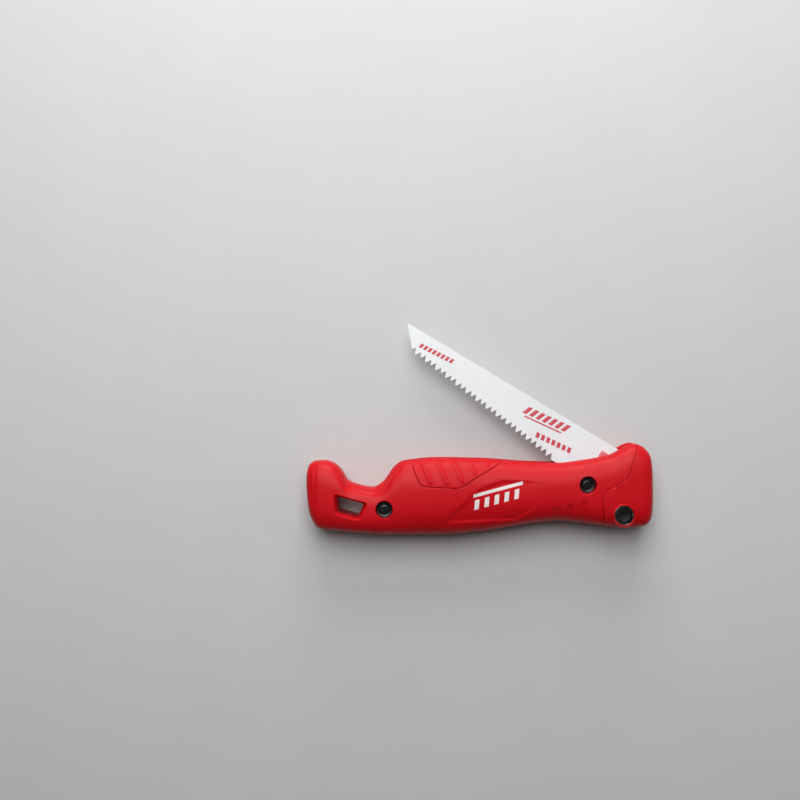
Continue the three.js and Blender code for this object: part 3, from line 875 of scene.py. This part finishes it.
def measured(box: Sequence[Vector]) -> tuple[Vector, Vector, Point]:
    """A box's low and high corner, and its middle in plan, from metres to millimetres."""
    low, high = (corner / MM for corner in box)
    return low, high, ((low.x + high.x) / 2, (low.y + high.y) / 2)


def curve_through(points: Sequence[Point], control: Point, steps: int = 8) -> list[Point]:
    """Points of a quadratic curve from the first point to the last about a control point."""
    (x0, y0), (x2, y2) = points[0], points[-1]
    result = []
    for i in range(1, steps + 1):
        t = i / steps
        a, b, c = (1 - t) ** 2, 2 * t * (1 - t), t * t
        result.append((a * x0 + b * control[0] + c * x2, a * y0 + b * control[1] + c * y2))
    return result


# ------------------------------------------------------------------ the handle


@dataclass
class HandleShells:
    """The two red shells, with slot, seam, recesses, panel and lanyard hole."""

    front_depth: float = FRONT_DEPTH
    rear_depth: float = REAR_DEPTH
    slot_half: float = 5.0
    seat: float = 8.1
    gap: float = 0.3
    recess_radius: float = 4.9
    recess_depth: float = 5.4
    mouth_floor: float = 24.6
    mouth_top: float = 31.0
    mouth_spread: float = 1.55
    liner: tuple[float, float, float] = (3.0, -126.3, 11.5)  # inset, and both ends
    lanyard_centre: Point = (-157.8, -11.4)
    lanyard_corners: tuple[Point, ...] = ((-8.4, 4.4), (-5.8, -4.4), (6.2, -4.4), (7.6, 4.4))
    lanyard_round: float = 1.8
    lanyard_turn: float = -15.0
    panel_depth: float = 0.75
    groove_depth: float = 0.8
    facet_depth: float = 1.1
    butt_step: float = 0.55
    seam: tuple[Point, ...] = (
        (6.2, 28), (4.9, 21.8), (3.3, 17.6), (1.2, 12.1), (0, 7.1), (-1.6, 4.7), (-9.9, 0),
        (-13, -2), (-14.6, -4), (-15.2, -6.8), (-15, -10.7), (-14.1, -15.2), (-12.6, -28),
    )
    slot: tuple[Point, ...] = (
        (-142, 40), (-142, 0), (-136, 0), (-136, -9), (-128, -17), (-24, -17.3), (-12, -19.5),
        (30, -19.5), (30, 40),
    )
    panel: tuple[Point, ...] = (
        (-105.3, -20), (-83.8, -18.6), (-63.1, -17.9), (-48.1, -8), (-30, 0), (-53.6, 3.7),
        (-71.2, 4), (-83.5, -0.4),
    )
    grooves: tuple[tuple[float, float], ...] = ((-40.8, -11.4), (-33.3, -9.4), (-25.3, -7.4))

    def relief(self, x: float, y: float) -> float:
        """Height of the front skin's own relief: panel recess, grooves and the notch's facet."""
        height = 0.0
        if -110 < x < -40:
            away = distance_to(self.panel, x, y)
            fade = rise_over(x, -108, -84) if y > -10 else rise_over(x, -112, -92)
            fade *= 1 - rise_over(x, -66, -46)
            height -= self.panel_depth * (1 - rise_over(away, -0.9, 0.5)) * fade
        for centre, top in self.grooves:
            across = abs(x - centre - 0.06 * (top - y))
            if across < 2.4 and y < top + 0.8:
                wall = (1 - rise_over(across, 1.0, 1.9)) * (1 - rise_over(y, top - 0.5, top + 0.4))
                height -= self.groove_depth * wall
        if -168 < x < -126:
            edge = smooth_at(FORM.top, x)
            side = min(rise_over(x, -168, -162), 1 - rise_over(x, -132, -126))
            height -= self.facet_depth * side * rise_over(y, edge - 4.8, edge - 3.4)
        if x < -175.5:
            height -= self.butt_step * (1 - rise_over(x, -177.3, -175.9))
        return height

    def seam_region(self, name: str, gap: float) -> Piece:
        """Everything on the nose side of the seam."""
        line = [(x - gap, y - gap / 2) for x, y in self.seam]
        rounded: list[Point] = [line[0]]
        for before, here, after in zip(line, line[1:], line[2:]):
            start = ((before[0] + here[0] * 3) / 4, (before[1] + here[1] * 3) / 4)
            end = ((after[0] + here[0] * 3) / 4, (after[1] + here[1] * 3) / 4)
            rounded.append(start)
            rounded.extend(curve_through((start, end), here, 4))
        rounded.append(line[-1])
        return Bench.prism(name, rounded + [(30, -30), (30, 30)], BELOW, ABOVE)

    def hollow_out(self, piece: Piece, front: bool) -> None:
        """Cut the blade slot and the liner's seat into a half or a nose cap."""
        liner = FORM.inset(*self.liner)
        for outline, depth in ((self.slot, self.slot_half), (liner, self.seat)):
            cutter = Bench.prism("cutter", outline, *layer(front, -1, depth))
            Bench.work(piece, cutter, Cut.REMOVE)

    def lanyard(self) -> Piece:
        """The slanted lanyard opening as a solid."""
        corners = self.lanyard_corners
        outline: list[Point] = []
        for i, (x, y) in enumerate(corners):
            ends = []
            for other in (corners[i - 1], corners[(i + 1) % len(corners)]):
                dx, dy = other[0] - x, other[1] - y
                length = math.hypot(dx, dy)
                ends.append(
                    (x + dx * self.lanyard_round / length, y + dy * self.lanyard_round / length)
                )
            outline.append(ends[0])
            outline.extend(curve_through(ends, (x, y), 5))
        turn = math.radians(self.lanyard_turn)
        sine, cosine = math.sin(turn), math.cos(turn)
        x0, y0 = self.lanyard_centre
        placed = [(x0 + x * cosine - y * sine, y0 + x * sine + y * cosine) for x, y in outline]
        return Bench.prism("cutter", placed, BELOW, ABOVE)

    def lanyard_mouth(self) -> Piece:
        """The funnel that opens the lanyard hole towards the front face."""
        mouth = self.lanyard()
        for vertex in mouth.data.vertices:
            if vertex.co.z > FORM.middle * MM:
                for axis in (0, 1):
                    centre = self.lanyard_centre[axis] * MM
                    vertex.co[axis] = centre + (vertex.co[axis] - centre) * self.mouth_spread
                vertex.co.z = self.mouth_top * MM
            else:
                vertex.co.z = self.mouth_floor * MM
        return mouth

    def shell(self, front: bool, pad: Piece) -> Piece:
        """Build one shell.

        Args:
            front: Whether it is the front shell.
            pad: The grip pad's region, cut out of the shell.

        Returns:
            The finished shell.
        """
        name = side_name(front) + "_shell_skin"
        depth = self.front_depth if front else self.rear_depth
        piece = FORM.half(name, depth, front, relief=self.relief if front else None)
        Bench.work(piece, self.seam_region("cutter", self.gap), Cut.REMOVE)
        self.hollow_out(piece, front)
        Bench.work(piece, pad, Cut.REMOVE)
        Bench.work(piece, self.lanyard(), Cut.REMOVE)
        if front:
            Bench.work(piece, self.lanyard_mouth(), Cut.REMOVE)
        for node in ("front_shell_screw", "butt_screw") if front else ("rear_shell_screw",):
            place = measured(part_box(node))[2]
            heights = layer(front, depth - self.recess_depth, BEYOND)
            hole = Bench.bar("cutter", place, self.recess_radius, *heights)
            Bench.work(piece, hole, Cut.REMOVE)
        self.soften(piece)
        return Bench.dress(piece, RED_PANEL.build() if front else RED_SHELL.build())

    @staticmethod
    def soften(piece: Piece, width: float = 0.16) -> None:
        """Tidy a cut piece and round the edges that the cuts left."""
        Bench.only(piece)
        with Bench.editing():
            bpy.ops.mesh.remove_doubles(threshold=0.04 * MM)
            bpy.ops.mesh.select_all(action="DESELECT")
            bpy.ops.mesh.select_mode(type="EDGE")
            bpy.ops.mesh.edges_select_sharp(sharpness=math.radians(48))
            bpy.ops.mesh.bevel(
                offset=width * MM, segments=2, affect="EDGES", clamp_overlap=False, profile=0.5
            )
            bpy.ops.mesh.select_mode(type="VERT")
        Bench.smooth(piece, 38)

    def build(self, pads: "GripPads") -> None:
        """Build both shells and fit them to the handle."""
        for front in (True, False):
            piece = self.shell(front, pads.region(front, self.gap, "cutter"))
            Bench.fit(piece, "handle", "red_plastic", side_name(front) + "_shell")


@dataclass
class GripPads:
    """The soft pads let into both sides of the grip, with slanted ridges."""

    depth: float = 7.9
    proud: float = 0.12
    ridge_height: float = 0.6
    ridge_pitch: float = 9.0
    first_ridge: float = -115.7
    lean: float = -0.45

    def outline(self, gap: float) -> list[Point]:
        """The pad's outline, grown by a gap."""
        points: list[Point] = [(-122.2 - gap, 30), (-122.2 - gap, 14)]
        points += curve_through((points[-1], (-115.0, 0.9 - gap)), (-118.8 - gap, 1.0 - gap), 8)
        points += [(-98.5, 0.05 - gap)]
        points += curve_through((points[-1], (-91.4 + gap, 2.5 - gap)), (-94.4, -0.1 - gap), 5)
        points += [(-86.5 + gap, 5.9 - gap), (-78.7 + gap, 10.2 - gap)]
        points += curve_through((points[-1], (-69.6 + gap, 17.0)), (-72.8 + gap, 13.4), 5)
        points += [(-69.6 + gap, 30)]
        return points

    def region(self, front: bool, gap: float, name: str) -> Piece:
        """The pad's block of space in one half."""
        return Bench.prism(name, self.outline(gap), *layer(front, self.depth + gap, BEYOND))

    def ridge(self, x: float, y: float) -> float:
        """Height of the ridges on the pad's face."""
        if not -124 < x < -66:
            return 0.0
        phase = (x - self.first_ridge - self.lean * (y - 12.0)) / self.ridge_pitch
        off = abs(phase - round(phase)) * self.ridge_pitch
        inside = -distance_to(self.outline(0.0), x, y)
        return self.ridge_height * (1 - rise_over(off, 0.3, 1.8)) * rise_over(inside, 0.6, 3.0)

    def build(self) -> None:
        """Build both pads and fit them to the handle."""
        for front in (True, False):
            depth = FRONT_DEPTH if front else REAR_DEPTH
            name = side_name(front) + "_grip_skin"
            grow = self.proud if front else 0.0
            piece = FORM.half(name, depth, front, grow, self.ridge if front else None)
            Bench.work(piece, self.region(front, 0.0, "cutter"), Cut.KEEP)
            HandleShells.soften(piece, 0.12)
            Bench.dress(piece, RED_GRIP.build())
            Bench.fit(piece, "handle", "grip_rubber", side_name(front) + "_grip_pad")


@dataclass
class NoseCaps:
    """The two caps over the pivot, the front one with the button's raised lip."""

    shells: HandleShells = field(default_factory=HandleShells)
    button: Point = (-3.1, -15.4)
    lip_radius: float = 6.5
    bore_radius: float = 5.7
    lip_top: float = 14.6
    bore_floor: float = 21.5

    def build(self) -> None:
        """Build both caps and fit them to the handle."""
        for front in (True, False):
            depth = self.shells.front_depth if front else self.shells.rear_depth
            piece = FORM.half(side_name(front) + "_cap_skin", depth, front)
            Bench.work(piece, self.shells.seam_region("cutter", 0.0), Cut.KEEP)
            if front:
                Bench.work(piece, self.lip(), Cut.JOIN)
            self.shells.hollow_out(piece, front)
            if front:
                heights = (self.bore_floor, ABOVE)
                bore = Bench.bar("cutter", self.button, self.bore_radius, *heights, sides=96)
                Bench.work(piece, bore, Cut.REMOVE)
            HandleShells.soften(piece)
            Bench.dress(piece, RED_SHELL.build())
            Bench.fit(piece, "handle", "red_plastic", side_name(front) + "_nose_cap")

    def lip(self) -> Piece:
        """The button's raised lip, with a rounded crown and a flared foot."""
        top = FORM.middle + self.lip_top
        inner, outer = self.bore_radius - 0.6, self.lip_radius
        profile = [
            (inner, 17), (outer, 17), (outer + 0.1, top - 5), (outer, top - 0.7),
            (outer - 0.12, top - 0.3), (outer - 0.4, top), (inner + 0.9, top), (inner, top - 0.3),
            (inner, 17),
        ]
        return Bench.turned("lip", self.button, profile, 96)


# ------------------------------------------------------------------ blade


@dataclass
class SawBlade:
    """The pointed blade: a tapered plate with ground gullets, a square root and a tang."""

    reach: float = 155.0
    back: float = 16.3
    width: float = 25.0
    tip_width: float = 13.0
    point_start: float = 144.0
    heel: float = 42.0
    root: float = 14.0
    tang_half: float = 6.35
    tang_end: float = 7.0
    thickness: float = 1.3
    pitch: float = 25.4 / 7
    depth: float = 3.2
    first_gullet: float = 0.62  # pitches from the heel to the first gullet
    flat: float = 0.05  # half the land left on a tooth's tip
    set_lean: float = 0.42
    lean_along: float = 0.62
    lean_up: float = 0.12
    angle: float = 31.0
    pin: Point = (14.6, 0.0)
    pin_radius: float = 2.1

    @property
    def taper(self) -> float:
        """How fast the blade narrows towards its tip."""
        return (self.width - self.tip_width) / (self.point_start - self.heel)

    def tips(self, along: float) -> float:
        """Where the tooth tips lie at a place along the blade."""
        return self.back - self.width + (along - self.heel) * self.taper

    def outline(self) -> list[Point]:
        """The blade's outline with a straight tooth line, tip towards -X."""
        points = [
            (self.tang_end, -self.tang_half), (self.heel - 12, -self.tang_half),
            (self.heel - 3, self.tips(self.heel - 3) + 1.0), (self.heel, self.tips(self.heel)),
            (self.point_start, self.tips(self.point_start)),
            (self.reach - 0.6, self.back - 1.2), (self.reach, self.back),
            (self.root, self.back), (self.root, self.tang_half), (self.tang_end, self.tang_half),
        ]
        return [(-u, v) for u, v in points]

    def gullet(self, side: int) -> Piece:
        """One gullet cutter, its flanks leaning to one side as a grinding wheel leaves them."""
        p, flat = self.pitch, self.flat
        start = self.heel + self.first_gullet * p
        end = start + p
        valley = self.heel + p
        tip = self.tips
        outline = [
            (-(start + flat), tip(start) - 0.01), (-valley, tip(valley) + self.depth),
            (-(end - flat), tip(end) - 0.01), (-(end - flat), tip(end) - 3),
            (-(start + flat), tip(start) - 3),
        ]
        low, high = FORM.middle - 1.2, FORM.middle + 1.2
        cutter = Bench.prism("gullet", outline, low, high)
        for vertex in cutter.data.vertices:
            off = (vertex.co.z / MM - FORM.middle) * side
            vertex.co.x += off * self.set_lean * self.lean_along * MM
            vertex.co.y -= off * self.lean_up * MM
        return cutter

    def gullets(self, first: int, ground: bpy.types.Material) -> Piece:
        """Every second gullet cutter as one object, so that no two of them touch.

        Args:
            first: 0 for the gullets that lean to the front, 1 for the others.
            ground: The finish that the cutters leave on the teeth.

        Returns:
            The cutters, joined.
        """
        model = Bench.dress(self.gullet(1 if first == 0 else -1), ground)
        count = int((self.point_start - self.heel) / self.pitch)
        copies = []
        for index in range(first, count, 2):
            copy = model.copy()
            copy.data = model.data.copy()
            bpy.context.scene.collection.objects.link(copy)
            shift = index * self.pitch
            copy.data.transform(Matrix.Translation((-shift * MM, shift * self.taper * MM, 0)))
            copies.append(copy)
        bpy.data.objects.remove(model)
        Bench.only(copies[0])
        for copy in copies:
            copy.select_set(True)
        bpy.ops.object.join()
        return bpy.context.active_object

    def build(self) -> None:
        """Build the blade, turn it to where it stands and fit it to its arm."""
        low = FORM.middle - self.thickness / 2
        piece = Bench.prism("saw_blade_plate", self.outline(), low, low + self.thickness)
        Bench.dress(piece, WHITE_BLADE.build())
        ground = GROUND_TEETH.build()
        for first in (0, 1):
            Bench.work(piece, self.gullets(first, ground), Cut.REMOVE)
        place = (-self.pin[0], self.pin[1])
        hole = Bench.bar("cutter", place, self.pin_radius, BELOW, ABOVE, 32)
        Bench.work(piece, hole, Cut.REMOVE)
        Bench.ease(piece, 0.09, 1, 60)
        piece.rotation_euler = (0, 0, math.radians(-self.angle))
        Bench.settle(piece)
        Bench.smooth(piece, 25)
        Bench.fit(piece, "blade_arm", "blade_coat", "saw_blade")


# ------------------------------------------------------------------ small parts


@dataclass
class ShellScrews:
    """The black screws: a broad flange under a smaller domed head with a star socket."""

    flange: float = 4.5
    dome: float = 3.0
    shank: float = 1.5
    socket: float = 1.75
    lobe: float = 0.42  # half the width of each of the socket's three slots
    first_lobe: float = 12.0

    def screw(self, node: str, front: bool) -> Piece:
        """Build one screw where the frame has it.

        Args:
            node: The frame node it stands for.
            front: Whether it faces the front.

        Returns:
            The finished screw.
        """
        low, high, centre = measured(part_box(node))
        side = 1 if front else -1
        end, face = (low.z, high.z) if front else (high.z, low.z)

        def at(rise: float) -> float:
            """A height counted inwards from the head's face."""
            return face - side * rise

        profile = [
            (0, end), (self.shank, end), (self.shank, at(2.4)), (self.flange, at(2.4)),
            (self.flange, at(0.75)), (self.flange - 0.15, at(0.6)), (self.dome + 0.5, at(0.75)),
            (self.dome, at(0.85)), (self.dome - 0.1, at(0.5)), (self.dome - 0.4, at(0.22)),
            (self.dome - 0.8, at(0.06)), (self.socket, at(0)), (0, at(0)),
        ]
        piece = Bench.turned(node + "_head", centre, profile, 48)
        x, y = self.socket, self.lobe
        for turn in (0, 60, 120):
            outline = [(-x, -y), (x, -y), (x, y), (-x, y)]
            lobe = Bench.prism("cutter", outline, *sorted((at(1.3), at(-1))))
            lobe.rotation_euler = (0, 0, math.radians(turn + self.first_lobe))
            lobe.location = (centre[0] * MM, centre[1] * MM, 0)
            Bench.work(piece, Bench.settle(lobe), Cut.REMOVE)
        Bench.smooth(piece, 40)
        return Bench.dress(piece, BLACK_SCREW.build())

    def build(self) -> None:
        """Build every shell screw and fit it to the handle."""
        for node, front in (
            ("front_shell_screw", True), ("butt_screw", True), ("rear_shell_screw", False)
        ):
            Bench.fit(self.screw(node, front), "handle", "black_screw", node)


@dataclass
class LockButton:
    """The push button with a dished crown, and the bright ring that keeps it."""

    crown: float = 4.6
    flange: float = 5.4
    flange_floor: float = 24.6
    shaft: float = 2.0
    ring_outer: float = 5.62

    def build(self) -> None:
        """Build the button and its ring."""
        low, high, centre = measured(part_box("lock_button"))
        top, flange_low = high.z, self.flange_floor
        profile = [
            (0, low.z), (self.shaft - 0.4, low.z), (self.shaft, low.z + 0.4),
            (self.shaft, top - 1.8), (self.crown - 1.1, top - 1.8), (self.crown - 1.1, flange_low),
            (self.flange, flange_low), (self.flange, flange_low + 1.5),
            (self.crown, flange_low + 1.6), (self.crown, top - 0.75), (self.crown - 0.1, top - 0.4),
            (self.crown - 0.35, top - 0.12), (self.crown - 0.75, top), (self.crown - 1.3, top - 0.1),
            (2.0, top - 0.5), (1.0, top - 0.62), (0, top - 0.65),
        ]
        button = Bench.turned("lock_button_cap", centre, profile, 72)
        Bench.smooth(button, 40)
        Bench.dress(button, BLACK_BUTTON.build())
        Bench.fit(button, "lock_button", "black_plastic", "lock_button")
        low, high, _ = measured(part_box("button_bezel"))
        inner, outer = self.crown + 0.3, self.ring_outer
        profile = [
            (inner, low.z), (outer, low.z), (outer, high.z - 1.5), (inner + 0.35, high.z - 1.4),
            (inner + 0.3, high.z - 0.08), (inner + 0.22, high.z), (inner + 0.08, high.z),
            (inner, high.z - 0.1), (inner, low.z),
        ]
        ring = Bench.turned("button_ring", centre, profile, 96)
        Bench.smooth(ring, 30)
        Bench.dress(ring, BRIGHT_RING.build())
        Bench.fit(ring, "handle", "bright_steel", "button_bezel")


@dataclass
class InnerWork:
    """The steel, brass and red metal inside, with eased edges where it shows."""

    ease: float = 0.12
    pressed: float = 0.33  # share of the spring's height left under a pressed button
    eased: tuple[tuple[str, str, str], ...] = (
        ("front_liner", "handle", "steel"),
        ("rear_liner", "handle", "steel"),
        ("front_clamp_plate", "blade_arm", "red_metal"),
        ("rear_clamp_plate", "blade_arm", "red_metal"),
        ("clamp_core", "blade_arm", "steel"),
        ("release_slider", "release", "red_metal"),
        ("lock_leaf", "handle", "spring_steel"),
    )

    def build(self) -> None:
        """Ease the pieces that show and dress every frame node that stays."""
        finishes = {
            "steel": SHEET_STEEL, "red_metal": RED_METAL, "spring_steel": SPRING_STEEL,
            "brass": TURNED_BRASS, "black_plastic": BLACK_SPACER,
        }
        made = {key: finish.build() for key, finish in finishes.items()}
        for node, body, slot in self.eased:
            piece = Bench.copy_of_frame(node, node + "_eased")
            Bench.ease(piece, self.ease, 2, 50)
            Bench.smooth(piece, 30)
            Bench.dress(piece, made[slot])
            Bench.fit(piece, body, slot, node)
        slots = {s["node"]: s["material_slot"] for s in frame["record"]["subparts"]}
        self.spring(slots["button_spring"], made)
        for name, node in frame["nodes"].items():
            if not node.hide_render:
                Bench.dress(node, made[slots[name]])
                LOG.info("%s keeps its frame shape", name)

    def spring(self, slot: str, made: dict[str, bpy.types.Material]) -> None:
        """Copy the button's spring and fit it to the handle.

        Args:
            slot: The record's material slot of the spring.
            made: The materials by slot.
        """
        piece = Bench.copy_of_frame("button_spring", "button_spring_wire")
        Bench.smooth(piece, 60)
        Bench.dress(piece, made[slot])
        Bench.fit(piece, "handle", slot, "button_spring")
        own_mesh(piece)


# ------------------------------------------------------------------ studio


@dataclass
class Studio:
    """A pale floor, soft lights and the camera straight above."""

    centre: tuple[float, float] = (-0.1291, 0.0496)
    distance: float = 0.55
    width: float = 0.4611
    target: Place = (-0.08, 0.0, 0.01)
    lights: tuple[tuple[str, Place, float, float], ...] = (  # name, place, size, power
        ("key", (-0.12, 0.85, 0.28), 0.5, 5.4),
        ("soft", (-0.2, 0.55, 1.0), 0.8, 10.8),
        ("rim", (0.7, 0.3, 0.5), 0.5, 0.6),
    )
    sky: float = 0.07

    def floor(self) -> None:
        """Add the pale floor."""
        Bench.clear()
        bpy.ops.mesh.primitive_plane_add(size=6, location=(0, 0, 0))
        floor = Bench.settle(Bench.added("floor"))
        finish = Finish(
            "pale_floor", (0.60, 0.60, 0.60), (0.57, 0.57, 0.57), Grain.COATED, (0.7, 0.8),
            bump=0.02, grain_scale=300, patch_scale=3,
        )
        Bench.dress(floor, finish.build())

    def light(self, name: str, place: Place, size: float, power: float) -> None:
        """Add one soft area light turned to the target."""
        lamp = bpy.data.lights.new(name, "AREA")
        lamp.size = size
        lamp.energy = power
        item = bpy.data.objects.new(name, lamp)
        item.location = place
        item.rotation_euler = (Vector(self.target) - Vector(place)).to_track_quat("-Z", "Y").to_euler()
        bpy.context.scene.collection.objects.link(item)

    def build(self) -> None:
        """Add floor, lights, sky and camera."""
        self.floor()
        for values in self.lights:
            self.light(*values)
        world = bpy.data.worlds.new("sky")
        world.use_nodes = True
        background = world.node_tree.nodes["Background"]
        background.inputs["Color"].default_value = (0.9, 0.92, 0.95, 1)
        background.inputs["Strength"].default_value = self.sky
        bpy.context.scene.world = world
        bpy.context.scene.view_settings.view_transform = "Standard"
        camera = bpy.data.cameras.new("camera")
        camera.sensor_width = 36
        camera.lens = 36 * self.distance / self.width
        camera.clip_start = 0.01
        item = bpy.data.objects.new("camera", camera)
        item.location = (*self.centre, FORM.middle * MM + self.distance)
        bpy.context.scene.collection.objects.link(item)
        bpy.context.scene.camera = item


def main() -> None:
    """Build the saw's pieces in order, then the studio."""
    logging.basicConfig(level=logging.INFO, format="%(name)s %(message)s")
    pads = GripPads()
    pads.build()
    HandleShells().build(pads)
    NoseCaps().build()
    SawBlade().build()
    ShellScrews().build()
    LockButton().build()
    InnerWork().build()
    Studio().build()


if __name__ == "__main__":
    main()
